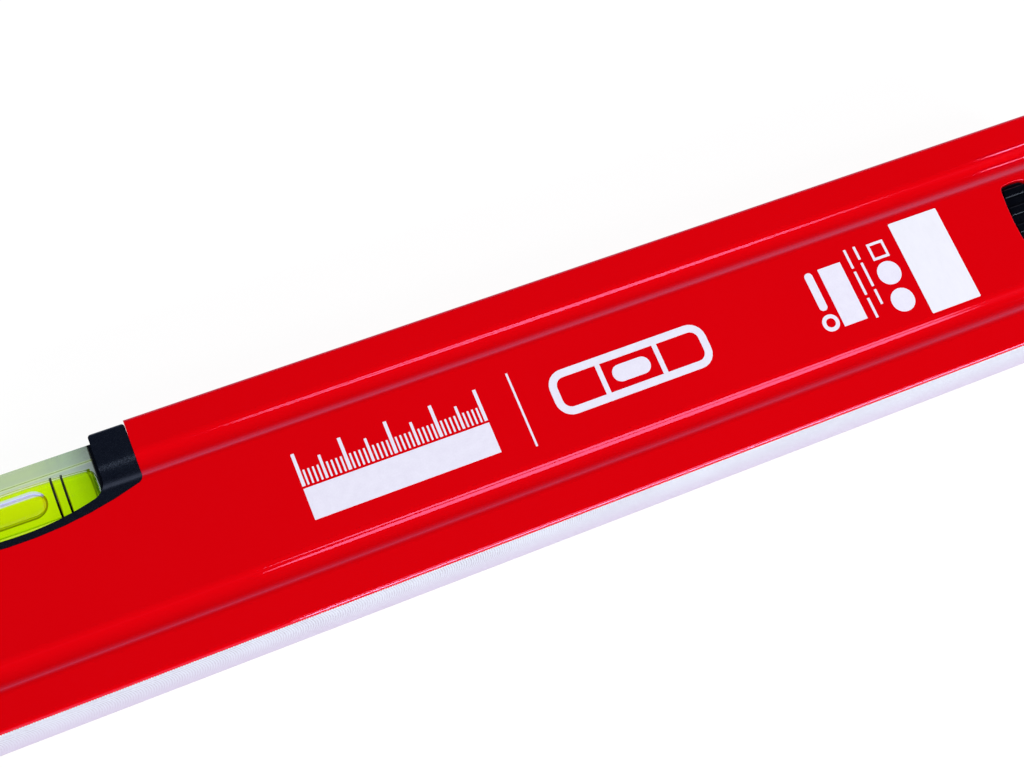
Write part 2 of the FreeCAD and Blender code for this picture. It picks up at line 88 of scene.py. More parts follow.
# %% [markdown]
# Materials here are node trees, and writing them out link by link hides what they do.
# A few small helpers keep them readable: add a node, feed a socket, do a sum, mix two colours.

# %% Node helpers


def add(tree, kind, **settings):
    """Add a node and set its plain properties."""
    node = tree.nodes.new(kind)
    for name, value in settings.items():
        setattr(node, name, value)
    return node


def join(tree, source, target):
    """Link an output socket to an input socket."""
    tree.links.new(source, target)


def feed(tree, value, socket):
    """Give a socket a number, a colour or the output of another node."""
    if isinstance(value, (int, float)):
        socket.default_value = value
    elif isinstance(value, tuple):
        socket.default_value = (*value, 1)
    else:
        join(tree, value, socket)


def sum_of(tree, operation, *values):
    """Math node on sockets or numbers; returns its output."""
    node = add(tree, "ShaderNodeMath", operation=operation)
    for socket, value in zip(node.inputs, values):
        feed(tree, value, socket)
    return node.outputs[0]


def step_between(tree, value, start, end, low=0.0, high=1.0):
    """Smooth change from low to high while a value goes from start to end; returns its output."""
    node = add(tree, "ShaderNodeMapRange", interpolation_type="SMOOTHSTEP")
    for name, given in (
            ("Value", value), ("From Min", start), ("From Max", end), ("To Min", low), ("To Max", high)):
        feed(tree, given, node.inputs[name])
    return node.outputs["Result"]


def mixed(tree, factor, first, second):
    """Mix two colours, each a socket or a plain colour; returns the result."""
    node = add(tree, "ShaderNodeMix", data_type="RGBA")
    feed(tree, factor, node.inputs[0])
    feed(tree, first, node.inputs[6])
    feed(tree, second, node.inputs[7])
    return node.outputs[2]


def ramp(tree, value, stops):
    """Colour that follows a value through (position, colour) stops; returns its output."""
    node = add(tree, "ShaderNodeValToRGB")
    join(tree, value, node.inputs["Fac"])
    elements = node.color_ramp.elements
    while len(elements) < len(stops):
        elements.new(0.5)
    for element, (position, colour) in zip(elements, stops):
        element.position = position
        element.color = (*colour, 1)
    return node.outputs["Color"]


def any_ray(tree, rays, *names):
    """One when the ray is of any of the named kinds; returns its output."""
    result = rays.outputs[names[0]]
    for name in names[1:]:
        result = sum_of(tree, "MAXIMUM", result, rays.outputs[name])
    return result


def blended(tree, factor, first, second):
    """Mix two shaders; returns the mixing node."""
    node = add(tree, "ShaderNodeMixShader")
    feed(tree, factor, node.inputs["Fac"])
    join(tree, first.outputs[0], node.inputs[1])
    join(tree, second.outputs[0], node.inputs[2])
    return node


# %% [markdown]
# A studio for a glossy object is mostly about what the gloss can see.
# Overhead it is dark, or the red would look washed out. Behind the level, low down, stands a white
# wall, which gives the pale streak on the far side of each groove. At floor level it is dim again.
# So reflected rays get colours that follow their height, the camera gets plain white, and soft
# light comes evenly from everywhere.

# %% Colour handling and world
scene.view_settings.view_transform = "Standard"
fill_level = 0.65
mirror_stops = (
    (0.0, (0.18, 0.18, 0.2)), (0.12, (0.22, 0.22, 0.24)), (0.22, (1.0, 1.0, 1.12)),
    (0.38, (0.96, 0.96, 1.08)), (0.62, (0.13, 0.13, 0.16)), (0.8, (0.002, 0.002, 0.003)))

world = bpy.data.worlds.new("studio")
scene.world = world
world.use_nodes = True
tree = world.node_tree
tree.nodes.clear()
direction = add(tree, "ShaderNodeTexCoord")
heights = add(tree, "ShaderNodeSeparateXYZ")
join(tree, direction.outputs["Generated"], heights.inputs[0])
rays = add(tree, "ShaderNodeLightPath")
soft, mirrored, plain_white = [add(tree, "ShaderNodeBackground") for _ in range(3)]
feed(tree, (1.0, 1.0, 1.0), soft.inputs["Color"])
feed(tree, fill_level, soft.inputs["Strength"])
feed(tree, ramp(tree, heights.outputs["Z"], mirror_stops), mirrored.inputs["Color"])
feed(tree, (1.0, 1.0, 1.0), plain_white.inputs["Color"])
lit = blended(tree, rays.outputs["Is Glossy Ray"], soft, mirrored)
shown = blended(tree, any_ray(tree, rays, "Is Camera Ray", "Is Transmission Ray"), lit, plain_white)
join(tree, shown.outputs[0], add(tree, "ShaderNodeOutputWorld").inputs["Surface"])
print("world: fill", fill_level, "with", len(mirror_stops), "steps of height in reflections")

# %% [markdown]
# Three lamps shape the object. A large round soft light stands off the working-face side, right of
# the middle. It lights that side of every curve and draws the pink line along each groove's lip.
# The line starts where the light's left edge comes into view, thin at first since that edge is
# round, and it ends with the right edge.
# Below it stands a low, flat box, which whitens the line along the profile's lower edge. It stands
# just high enough not to glare off the face when the level is seen low from behind.
# A narrow strip hangs high on the right and gives the thin white lines near that end.
# A flat lamp's brightness is its power over pi times its area, so the power is worked out from the
# brightness that its reflection should have.

# %% Lamps
lamp_tint = (1.0, 0.97, 1.0)
low_tint = (0.95, 1.05, 0.97)


def soft_light(name, centre, facing, size, brightness, tint=lamp_tint, shape="RECTANGLE"):
    """Flat lamp, oblong or elliptical, whose reflection has the given brightness."""
    lamp = bpy.data.lights.new(name, "AREA")
    lamp.shape = shape
    lamp.size, lamp.size_y = size
    area = size[0] * size[1] * (math.pi / 4 if shape == "ELLIPSE" else 1)
    lamp.energy = brightness * math.pi * area
    lamp.color = tint
    holder = bpy.data.objects.new(name, lamp)
    scene.collection.objects.link(holder)
    holder.location = centre
    holder.rotation_euler = Vector(facing).to_track_quat("-Z", "Y").to_euler()
    print(name, "power", round(lamp.energy, 1), "W")


lamp_distance = 1.0
key_centre_x, key_centre_z = 0.72, 1.65
key_width, key_height = 1.12, 0.75
key_brightness = 4.1
low_centre_x, low_centre_z = 0.62, 0.68
low_width, low_height = 0.98, 0.34
low_brightness = 16.0
strip_centre = (1.5, 0.2, 1.5)
strip_facing = (-0.65, -0.1, -0.75)
strip_width, strip_length = 0.05, 0.59
strip_brightness = 22.0

soft_light(
    "key_light", (key_centre_x, -lamp_distance, key_centre_z), (0, 1, 0), (key_width, key_height),
    key_brightness, shape="ELLIPSE")
soft_light(
    "low_light", (low_centre_x, -lamp_distance, low_centre_z), (0, 1, 0), (low_width, low_height),
    low_brightness, tint=low_tint)
soft_light("strip_light", strip_centre, strip_facing, (strip_width, strip_length), strip_brightness)

# %% [markdown]
# The floor is a plain pale sheet. The camera should see it white, as in the photograph, and still
# see a little shadow under the object. So its material is mostly a plain white glow for camera,
# mirror and glass rays, with a share of honestly lit paint left in to carry the shadow.

# %% Floor
floor_half = 3.0
lit_share = 0.12
floor_glow = 1.05
floor_paint = (0.86, 0.86, 0.88)

floor_mesh = bpy.data.meshes.new("floor")
floor_mesh.from_pydata(
    [(-floor_half, -floor_half, 0), (floor_half, -floor_half, 0),
     (floor_half, floor_half, 0), (-floor_half, floor_half, 0)], [], [(0, 1, 2, 3)])
floor = bpy.data.objects.new("floor", floor_mesh)
scene.collection.objects.link(floor)

paper = bpy.data.materials.new("floor_paper")
paper.use_nodes = True
tree = paper.node_tree
tree.nodes.clear()
paint = add(tree, "ShaderNodeBsdfDiffuse")
feed(tree, floor_paint, paint.inputs["Color"])
glow = add(tree, "ShaderNodeEmission")
feed(tree, (1.0, 1.0, 1.0), glow.inputs["Color"])
feed(tree, floor_glow, glow.inputs["Strength"])
rays = add(tree, "ShaderNodeLightPath")
seen = any_ray(tree, rays, "Is Camera Ray", "Is Glossy Ray", "Is Transmission Ray")
surface = blended(tree, sum_of(tree, "MULTIPLY", seen, 1 - lit_share), paint, glow)
join(tree, surface.outputs[0], add(tree, "ShaderNodeOutputMaterial").inputs["Surface"])
floor_mesh.materials.append(paper)
print("floor", 2 * floor_half, "m square")

# %% [markdown]
# Almost every finish here has a fine grain: the coating has a faint orange peel, the mouldings the
# spark-eroded texture of their tool. That is one effect at several scales, so it is one node group:
# two sizes of noise make a height and a small change of roughness.
# A group may only hand out values like these. The shader itself stays in each material.
# Noise seldom leaves the middle of its range, so that part is spread over the whole change.

# %% Shared grain group
coarse_scale_share = 0.22
noise_low, noise_high = 0.3, 0.7


def grain_group():
    """Node group: fine grain as a height from 0 to 1 and a roughness that follows it."""
    group = bpy.data.node_groups.new("fine_grain", "ShaderNodeTree")
    for name, kind, value in (
            ("Scale", "NodeSocketFloat", 1000.0), ("Stretch", "NodeSocketVector", (1, 1, 1)),
            ("Coarse share", "NodeSocketFloat", 0.3), ("Roughness low", "NodeSocketFloat", 0.2),
            ("Roughness high", "NodeSocketFloat", 0.4)):
        socket = group.interface.new_socket(name, in_out="INPUT", socket_type=kind)
        socket.default_value = value
    group.interface.new_socket("Height", in_out="OUTPUT", socket_type="NodeSocketFloat")
    group.interface.new_socket("Roughness", in_out="OUTPUT", socket_type="NodeSocketFloat")
    given = add(group, "NodeGroupInput")
    handed = add(group, "NodeGroupOutput")
    place = add(group, "ShaderNodeTexCoord")
    stretched = add(group, "ShaderNodeVectorMath", operation="MULTIPLY")
    join(group, place.outputs["Object"], stretched.inputs[0])
    join(group, given.outputs["Stretch"], stretched.inputs[1])
    fine, coarse = [add(group, "ShaderNodeTexNoise") for _ in range(2)]
    coarse_scale = sum_of(group, "MULTIPLY", given.outputs["Scale"], coarse_scale_share)
    for noise, scale in ((fine, given.outputs["Scale"]), (coarse, coarse_scale)):
        join(group, stretched.outputs[0], noise.inputs["Vector"])
        join(group, scale, noise.inputs["Scale"])
    both = add(group, "ShaderNodeMix", data_type="FLOAT")
    join(group, given.outputs["Coarse share"], both.inputs["Factor"])
    join(group, fine.outputs["Fac"], both.inputs["A"])
    join(group, coarse.outputs["Fac"], both.inputs["B"])
    roughness = step_between(
        group, both.outputs["Result"], noise_low, noise_high,
        given.outputs["Roughness low"], given.outputs["Roughness high"])
    join(group, both.outputs["Result"], handed.inputs["Height"])
    join(group, roughness, handed.inputs["Roughness"])
    return group


grain = grain_group()
print("grain group sockets:", len(grain.interface.items_tree))

# %% [markdown]
# More helpers start each material: one makes it and finds its shader, one places the grain,
# one turns a height into a bump, and two read where on the piece the shaded point lies.
# Bump distance is a real length, in metres.

# %% Helpers for materials


def new_material(name, colour, roughness, **plain):
    """Material with one Principled shader; plain values are set on the shader's own sockets."""
    material = bpy.data.materials.new(name)
    material.use_nodes = True
    material.diffuse_color = (*colour, 1)
    shader = material.node_tree.nodes["Principled BSDF"]
    shader.inputs["Base Color"].default_value = (*colour, 1)
    shader.inputs["Roughness"].default_value = roughness
    for socket_name, value in plain.items():
        shader.inputs[socket_name.replace("_", " ")].default_value = value
    return material, material.node_tree, shader


def place_grain(tree, scale, low, high, coarse=0.3, stretch=(1, 1, 1)):
    """Put the grain group in a material with its own values."""
    node = add(tree, "ShaderNodeGroup", node_tree=grain)
    node.inputs["Stretch"].default_value = stretch
    for name, value in (
            ("Scale", scale), ("Coarse share", coarse), ("Roughness low", low), ("Roughness high", high)):
        feed(tree, value, node.inputs[name])
    return node


def bump_from(tree, height, distance, shader):
    """Feed a height to the shader's normal, its depth given in metres."""
    bump = add(tree, "ShaderNodeBump")
    bump.inputs["Distance"].default_value = distance
    join(tree, height, bump.inputs["Height"])
    join(tree, bump.outputs["Normal"], shader.inputs["Normal"])


def own_place(tree):
    """A piece's own X, Y and Z at the shaded point."""
    spot = add(tree, "ShaderNodeTexCoord")
    split = add(tree, "ShaderNodeSeparateXYZ")
    join(tree, spot.outputs["Object"], split.inputs[0])
    return split.outputs["X"], split.outputs["Y"], split.outputs["Z"]


def noise_at(tree, scale, detail=2.0):
    """Noise in the piece's own coordinates; returns its value."""
    spot = add(tree, "ShaderNodeTexCoord")
    noise = add(tree, "ShaderNodeTexNoise")
    feed(tree, scale, noise.inputs["Scale"])
    feed(tree, detail, noise.inputs["Detail"])
    join(tree, spot.outputs["Object"], noise.inputs["Vector"])
    return noise.outputs["Fac"]


def dress(node_names, material):
    """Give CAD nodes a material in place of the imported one."""
    for name in node_names:
        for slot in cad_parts[name].material_slots:
            slot.material = material
    print(material.name, "on", ", ".join(node_names))


# %% [markdown]
# The profile carries two finishes. The coating is a hard, very glossy red with a faint orange peel.
# After coating, a wide cutter skims the working face, which leaves bare bright metal with fine arcs
# across it, one for each turn of the cutter, and a finely toothed border where the coat stops.
# Both live in one material: a mask from the height above the working face picks the finish, and the
# same feed pitch makes the arcs and the teeth, so they line up. Towards the floor the bare metal is painted
# darker, as painted shade.

# %% Red coating and milled working face
coat_red = (0.665, 0.0003, 0.0032)
coat_deep = (0.63, 0.0002, 0.0030)
coat_sheen = (1.0, 0.5, 1.0, 1)
coat_gloss = 0.7
coat_roughness_low, coat_roughness_high = 0.02, 0.05
coat_peel_scale = 1100
coat_peel_coarse = 0.35
coat_peel_depth = 0.011 * MM
coat_cloud_scale = 22
milled_bright = (0.675, 0.84, 0.83)
milled_dull = (0.34, 0.43, 0.43)
# Painted shade: the colour that the bare metal fades to near the floor.
milled_painted_shade = (0.54, 0.59, 0.645)
milled_metal_share = 0.45
milled_roughness = 0.34
floor_shade_height_share = 0.8
patch_scale = 60
patch_faintest, patch_deepest = 0.5, 1.0
scratch_scale, scratch_detail = 1400, 4.0
scratch_low, scratch_high = 0.25, 0.6
feed_pitch = 0.52 * MM
cutter_radius = 38 * MM
tooth_depth = 0.12 * MM
skim_depth = 0.006 * MM

coated, tree, shader = new_material(
    "red_coating", coat_red, coat_roughness_high, Specular_Tint=coat_sheen,
    Specular_IOR_Level=coat_gloss)
x, y, z = own_place(tree)
from_middle = sum_of(tree, "SUBTRACT", z, (body_box[0].z + face_z) / 2)
sag = sum_of(tree, "DIVIDE", sum_of(tree, "POWER", from_middle, 2.0), 2 * cutter_radius)
turns = sum_of(tree, "DIVIDE", sum_of(tree, "ADD", x, sag), feed_pitch)
wave = sum_of(tree, "SINE", sum_of(tree, "MULTIPLY", turns, math.tau))
ripple = sum_of(tree, "MULTIPLY_ADD", wave, 0.5, 0.5)
border = sum_of(tree, "MULTIPLY_ADD", ripple, tooth_depth, working_y + skim_depth)
bare = sum_of(tree, "LESS_THAN", y, border)

peel = place_grain(
    tree, coat_peel_scale, coat_roughness_low, coat_roughness_high, coarse=coat_peel_coarse)
red = mixed(tree, noise_at(tree, coat_cloud_scale), coat_deep, coat_red)
patches = step_between(
    tree, noise_at(tree, patch_scale), noise_low, noise_high, patch_faintest, patch_deepest)
cut_mark = sum_of(tree, "MULTIPLY", ripple, patches)
scratches = step_between(
    tree, noise_at(tree, scratch_scale, scratch_detail), scratch_low, scratch_high)
scratched = sum_of(tree, "MULTIPLY", cut_mark, scratches)
metal = mixed(tree, scratched, milled_bright, milled_dull)
# Painted shade: the bare metal darkens towards the floor over the lower part of the working face.
floor_shade = step_between(tree, z, 0.0, floor_shade_height_share * face_z, 1.0, 0.0)
metal = mixed(tree, floor_shade, metal, milled_painted_shade)

feed(tree, mixed(tree, bare, red, metal), shader.inputs["Base Color"])
feed(tree, sum_of(tree, "MULTIPLY", bare, milled_metal_share), shader.inputs["Metallic"])
finish, relief = [add(tree, "ShaderNodeMix", data_type="FLOAT") for _ in range(2)]
for node, coat_value, metal_value in (
        (finish, peel.outputs["Roughness"], milled_roughness), (relief, peel.outputs["Height"], cut_mark)):
    feed(tree, bare, node.inputs["Factor"])
    feed(tree, coat_value, node.inputs["A"])
    feed(tree, metal_value, node.inputs["B"])
join(tree, finish.outputs["Result"], shader.inputs["Roughness"])
bump_from(tree, relief.outputs["Result"], coat_peel_depth, shader)
dress(["profile"], coated)

# %% [markdown]
# The black pieces are three kinds of moulding. The vial's cradle and the catches are a satin plastic
# with a fine sparkle where light grazes it, the inner cap parts are duller, and the bumpers are rubber.
# Each takes the same grain group with its own scale, depth and roughness.

# %% Black mouldings
grain_contrast = 2.2


def moulded(name, colour, scale, low, high, depth, coarse=0.3, gloss=0.5, sheen=(1, 1, 1, 1)):
    """Moulded plastic or rubber: plain colour with grain in its gloss and its surface."""
    material, tree, shader = new_material(
        name, colour, high, Specular_IOR_Level=gloss, Specular_Tint=sheen)
    texture = place_grain(tree, scale, low, high, coarse)
    lighter = tuple(min(1.0, grain_contrast * part) for part in colour)
    feed(tree, mixed(tree, texture.outputs["Height"], colour, lighter), shader.inputs["Base Color"])
    join(tree, texture.outputs["Roughness"], shader.inputs["Roughness"])
    bump_from(tree, texture.outputs["Height"], depth, shader)
    return material


satin_black = moulded(
    "satin_black_plastic", colour=(0.0026, 0.0036, 0.0078), scale=3200, low=0.16, high=0.32,
    depth=0.035 * MM, gloss=0.55, sheen=(0.75, 0.9, 1.2, 1))
catch_black = moulded(
    "catch_plastic", colour=(0.0008, 0.0010, 0.0022), scale=3200, low=0.08, high=0.16,
    depth=0.006 * MM, gloss=0.28, sheen=(0.8, 0.9, 1.2, 1))
core_black = moulded(
    "core_plastic", colour=(0.008, 0.008, 0.009), scale=1500, low=0.5, high=0.65, depth=0.02 * MM)
rubber = moulded(
    "bumper_rubber", colour=(0.009, 0.009, 0.010), scale=1100, low=0.55, high=0.75,
    depth=0.05 * MM, coarse=0.5)
ring_ink = moulded(
    "ring_ink", colour=(0.002, 0.002, 0.002), scale=2500, low=0.35, high=0.5, depth=0.004 * MM)
plug_white = moulded(
    "plug_plastic", colour=(0.36, 0.40, 0.30), scale=1800, low=0.3, high=0.5, depth=0.01 * MM)

vials = ("level", "plumb")
sides = ("right", "left")
dress([f"{vial}_housing_{half}" for vial in vials for half in ("front", "back")], satin_black)
dress([f"{side}_catch_{half}" for side in sides for half in ("front", "back")], catch_black)
dress([f"{side}_cap_core" for side in sides], core_black)
dress([f"{side}_cap_bumper" for side in sides], rubber)
dress([f"{vial}_vial_rings" for vial in vials], ring_ink)
dress([f"{vial}_vial_plug" for vial in vials], plug_white)

# %% [markdown]
# A vial is a clear block, a barrel of liquid inside it and a bubble of air inside the liquid.
# In light these are three nested bodies, and light bends where one meets the next.
# The tidy way to build that is three closed surfaces, one inside the other, each with the ratio of
# the inner to the outer refractive index: block to air, liquid to block, air to liquid.
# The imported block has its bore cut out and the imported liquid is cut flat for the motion's sake, so
# both are replaced here by full shapes in the same place.
# Every shape is made about its own origin, with X along the vial, Y across it and Z towards the
# front. So one set of shapes and materials serves the lying vial and the standing one.

# %% Sizes of the vials
bore_end_radius = 3.82 * MM
dome_radius = 3.27 * MM
dome_height = 1.0 * MM
block_edge = 0.12 * MM
bubble_rise = 2.2 * MM
bubble_half_thick = 1.7 * MM


def vial_layout(vial):
    """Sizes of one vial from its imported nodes, and where its own origin stands."""
    block_low, block_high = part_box(f"{vial}_vial_block")
    liquid_low, liquid_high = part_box(f"{vial}_vial_liquid")
    bubble_low, bubble_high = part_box(f"{vial}_vial_bubble")
    centre = (block_low + block_high) / 2
    lies = block_high.x - block_low.x > block_high.y - block_low.y
    along, across = (0, 1) if lies else (1, 0)
    turn = Matrix.Identity(4) if lies else Matrix.Rotation(math.pi / 2, 4, "Z")
    return {
        "place": Matrix.Translation(centre) @ turn,
        "block": (block_high[along] - block_low[along], block_high[across] - block_low[across],
                  block_high.z - block_low.z),
        "low": liquid_low[along] - centre[along],
        "high": liquid_high[along] - centre[along] - dome_height,
        "radius": (liquid_high[across] - liquid_low[across]) / 2,
        "bubble": (bubble_high[along] - bubble_low[along], bubble_high[across] - bubble_low[across])}


layouts = {vial: vial_layout(vial) for vial in vials}
for vial, layout in layouts.items():
    print(vial, "block", [round(size / MM, 2) for size in layout["block"]],
          "bore radius", round(layout["radius"] / MM, 2))

# %% [markdown]
# The clear block's tint is painted light and shade: its grey-green stands in for the liquid's glow and
# the shaded floor seen through it, it is painted darker towards its ends as the cradle's shade and black
# at its very ends as shade in the gap at the cheeks, painted lighter below a set height, with a painted
# lime glow at its foot and a painted glowing line along one back edge. The liquid is a dyed spirit
# that glows lime in light; that glow is painted in as its own emission, so most of its colour is
# painted glow, and a green tint colours what is seen through it. The glow is painted darker lower
# down and to the right, as shade, and its domed end is painted darkest green, as shade.
# The bubble is air. Its upper rim mirrors the bright room, which the eye reads as a white crescent.
# That crescent is a painted reflection: a glow masked by place, strong in blue, since the lime liquid
# in front of it takes nearly all blue away. The bubble's outline is painted darker than the liquid
# round it, since at a shallow angle its skin is a mirror: so the liquid glows less in mirrors.
# A faint amber glow is painted into the bubble's right end.

# %% Clear, liquid and air materials
block_index = 1.49
liquid_index = 1.34
# Painted shade: the block's tint darkens towards its ends and turns black at the very ends, in the gap at
# the cheeks.
block_painted_shade_stops = (
    (0.25, (0.487, 0.609, 0.388)), (0.63, (0.37, 0.49, 0.37)), (0.82, (0.25, 0.32, 0.27)),
    (0.875, (0.21, 0.26, 0.23)), (0.885, (0.004, 0.004, 0.003)), (1.0, (0.004, 0.004, 0.003)))
# Painted light: the block is made lighter and bluer below this height.
front_painted_light = (1.12, 1.04, 1.25)
front_painted_light_below = 3.85 * MM
# Painted light: a lime glow of the liquid, painted into the block's foot.
foot_painted_glow = (0.40, 0.62, 0.004)
foot_painted_glow_below = -5.1 * MM
# Painted highlight: a glowing line along the block's top back edge.
painted_edge_glow = (0.11, 0.14, 0.0)
painted_edge_width = 0.34 * MM
liquid_tint = (0.55, 0.80, 0.003)
# Painted light: the liquid's glow; the next three colours are painted shade, lower down, to the right and in
# the dome.
liquid_painted_glow = (0.44, 0.47, 0.0)
liquid_painted_shade_low = (0.30, 0.33, 0.0)
liquid_painted_shade_right = (0.20, 0.33, 0.0)
right_shade_start_share, right_shade_full_share = 0.3, 1.1
dome_painted_shade = (0.0, 0.08, 0.01)
dome_shade_lead_share = 0.3
liquid_painted_glow_strength = 0.55
mirrored_painted_glow_strength = 0.1
# Painted reflection: a white crescent glow along the bubble's upper rim.
crescent_painted_reflection = (0.25, 0.06, 17.5)
crescent_start_share, crescent_full_share = 0.37, 0.47
bubble_tint = (1.0, 0.88, 1.0)
# Painted shade: a dark outline round the bubble, green towards its ends.
bubble_painted_dark_rim = (0.03, 0.07, 0.02)
bubble_painted_rim_end = (0.01, 0.28, 0.03)
rim_depth_share = 0.36
rim_end_start_share, rim_end_full_share = 0.1, 0.7
# Painted light: an amber glow in the bubble's right end.
amber_painted_glow = (0.14, 0.03, 0.0)
amber_start_share, amber_full_share = 0.45, 0.95


def see_through(name, colour, index):
    """Clear material whose shadow lets lamp light through, tinted by its own colour."""
    material, tree, shader = new_material(name, colour, 0.0, Transmission_Weight=1.0, IOR=index)
    shader.inputs["Emission Strength"].default_value = 1.0
    rays = add(tree, "ShaderNodeLightPath")
    passing = add(tree, "ShaderNodeBsdfTransparent")
    feed(tree, colour, passing.inputs["Color"])
    either = blended(tree, rays.outputs["Is Shadow Ray"], shader, passing)
    join(tree, either.outputs[0], tree.nodes["Material Output"].inputs["Surface"])
    return material, tree, shader


def make_acrylic(layout):
    """Clear block: painted shade to its ends, painted light below, painted lime glow at its foot and back
    edge.
    """
    material, tree, shader = see_through("clear_acrylic", block_painted_shade_stops[0][1], block_index)
    x, y, z = own_place(tree)
    half_length, half_width, half_depth = [size / 2 for size in layout["block"]]
    outwards = sum_of(tree, "DIVIDE", sum_of(tree, "ABSOLUTE", x), half_length)
    # Painted shade: darker towards both ends, black at the very ends.
    tint = ramp(tree, outwards, block_painted_shade_stops)
    # Painted light: lighter and bluer below a set height.
    painted_front_light = add(tree, "ShaderNodeMix", data_type="RGBA", blend_type="MULTIPLY", clamp_result=True)
    feed(tree, sum_of(tree, "LESS_THAN", y, front_painted_light_below), painted_front_light.inputs[0])
    feed(tree, tint, painted_front_light.inputs[6])
    feed(tree, front_painted_light, painted_front_light.inputs[7])
    # Painted light: lime glow at the block's foot.
    at_foot = sum_of(tree, "LESS_THAN", y, foot_painted_glow_below)
    feed(tree, mixed(tree, at_foot, painted_front_light.outputs[2], foot_painted_glow), shader.inputs["Base Color"])
    # Painted highlight: emission along the top back edge.
    at_top = sum_of(tree, "GREATER_THAN", y, half_width - painted_edge_width)
    at_back = sum_of(tree, "LESS_THAN", z, painted_edge_width - half_depth)
    painted_edge_line = sum_of(tree, "MULTIPLY", at_top, at_back)
    feed(tree, mixed(tree, painted_edge_line, (0.0, 0.0, 0.0), painted_edge_glow), shader.inputs["Emission Color"])
    return material


def make_lime(layout):
    """Liquid: green tint and a painted glow, with painted shade lower down, to the right and darkest in its
    dome.
    """
    material, tree, shader = see_through("vial_liquid", liquid_tint, liquid_index / block_index)
    x, y, _ = own_place(tree)
    high = layout["high"]
    # Painted shade: the glow darkens lower down, to the right, and most in the domed end.
    lower = step_between(tree, y, layout["radius"], -layout["radius"])
    body_glow = mixed(tree, lower, liquid_painted_glow, liquid_painted_shade_low)
    right_shade = step_between(tree, x, right_shade_start_share * high, right_shade_full_share * high)
    body_glow = mixed(tree, right_shade, body_glow, liquid_painted_shade_right)
    dome_shade = step_between(tree, x, high - dome_shade_lead_share * dome_height, high + dome_height)
    glow = mixed(tree, dome_shade, body_glow, dome_painted_shade)
    bright = add(tree, "ShaderNodeVectorMath", operation="SCALE")
    join(tree, glow, bright.inputs[0])
    rays = add(tree, "ShaderNodeLightPath")
    strength = step_between(
        tree, rays.outputs["Is Reflection Ray"], 0.0, 1.0, liquid_painted_glow_strength, mirrored_painted_glow_strength)
    join(tree, strength, bright.inputs["Scale"])
    join(tree, bright.outputs[0], shader.inputs["Emission Color"])
    return material


def make_air(layout):
    """Air in the bubble: a painted white reflection on its upper rim, a painted dark rim, painted amber glow
    at its right end.
    """
    material, tree, shader = see_through("bubble_air", bubble_tint, 1 / liquid_index)
    length, width = layout["bubble"]
    x, y, z = own_place(tree)
    above_middle = sum_of(tree, "SUBTRACT", z, bubble_rise)
    facing = sum_of(tree, "GREATER_THAN", above_middle, 0.0)
    height_share = sum_of(tree, "DIVIDE", y, width / 2)
    crescent = step_between(tree, height_share, crescent_start_share, crescent_full_share)
    crescent = sum_of(tree, "MULTIPLY", crescent, facing)
    past_straight = sum_of(tree, "SUBTRACT", x, (length - width) / 2)
    end_share = sum_of(tree, "MAXIMUM", sum_of(tree, "DIVIDE", past_straight, width / 2), 0.0)
    amber = step_between(tree, end_share, amber_start_share, amber_full_share)
    glow = mixed(tree, amber, (0.0, 0.0, 0.0), amber_painted_glow)
    # Painted reflection and painted glow go into the bubble's emission.
    feed(tree, mixed(tree, crescent, glow, crescent_painted_reflection), shader.inputs["Emission Color"])
    off_middle = sum_of(tree, "ABSOLUTE", above_middle)
    rim = step_between(tree, off_middle, rim_depth_share * bubble_half_thick, 0.0)
    at_end = step_between(tree, end_share, rim_end_start_share, rim_end_full_share)
    # Painted shade: the dark outline darkens what is seen through the bubble's rim.
    rim_colour = mixed(tree, at_end, bubble_painted_dark_rim, bubble_painted_rim_end)
    feed(tree, mixed(tree, rim, bubble_tint, rim_colour), shader.inputs["Base Color"])
    return material


print("index ratios:", round(liquid_index / block_index, 3), round(1 / liquid_index, 3))

# %% [markdown]
# Round bodies are turned, as on a lathe: a list of stations along the axis, each with a radius,
# becomes rings of points joined by faces. The barrel follows a long arc, so its stations come
# from the formula of that arc and the shallow dome at its closed end from another.

# %% Lathe helper
round_segments = 96


def new_piece(name, work, material, body, place=None, smooth=True):
    """Turn a finished bmesh into an object that rides on a body."""
    bmesh.ops.recalc_face_normals(work, faces=work.faces)
    mesh = bpy.data.meshes.new(name)
    work.to_mesh(mesh)
    work.free()
    mesh.materials.append(material)
    for polygon in mesh.polygons:
        polygon.use_smooth = smooth
    piece = bpy.data.objects.new(name, mesh)
    scene.collection.objects.link(piece)
    if place is not None:
        piece.matrix_world = place
    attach(piece, body)
    print(name, len(mesh.polygons), "faces")
    return piece


def turned(stations, flatten=1.0, lift=0.0):
    """Closed body of revolution about X from (place, radius) stations, flattened and lifted in Z."""
    work = bmesh.new()
    rings = []
    for distance, radius in stations:
        count = round_segments if radius > 0 else 1
        angles = [math.tau * step / count for step in range(count)]
        rings.append([
            work.verts.new((distance, radius * math.cos(angle), lift + flatten * radius * math.sin(angle)))
            for angle in angles])
    for first, second in zip(rings, rings[1:]):
        for step in range(round_segments):
            after = (step + 1) % round_segments
            corners = [
                first[step % len(first)], first[after % len(first)],
                second[after % len(second)], second[step % len(second)]]
            work.faces.new(list(dict.fromkeys(corners)))
    return work


# %% Vial shapes
barrel_steps = 28
dome_steps = 6
bubble_steps = 20
edge_steps = 4
round_profile = 0.5


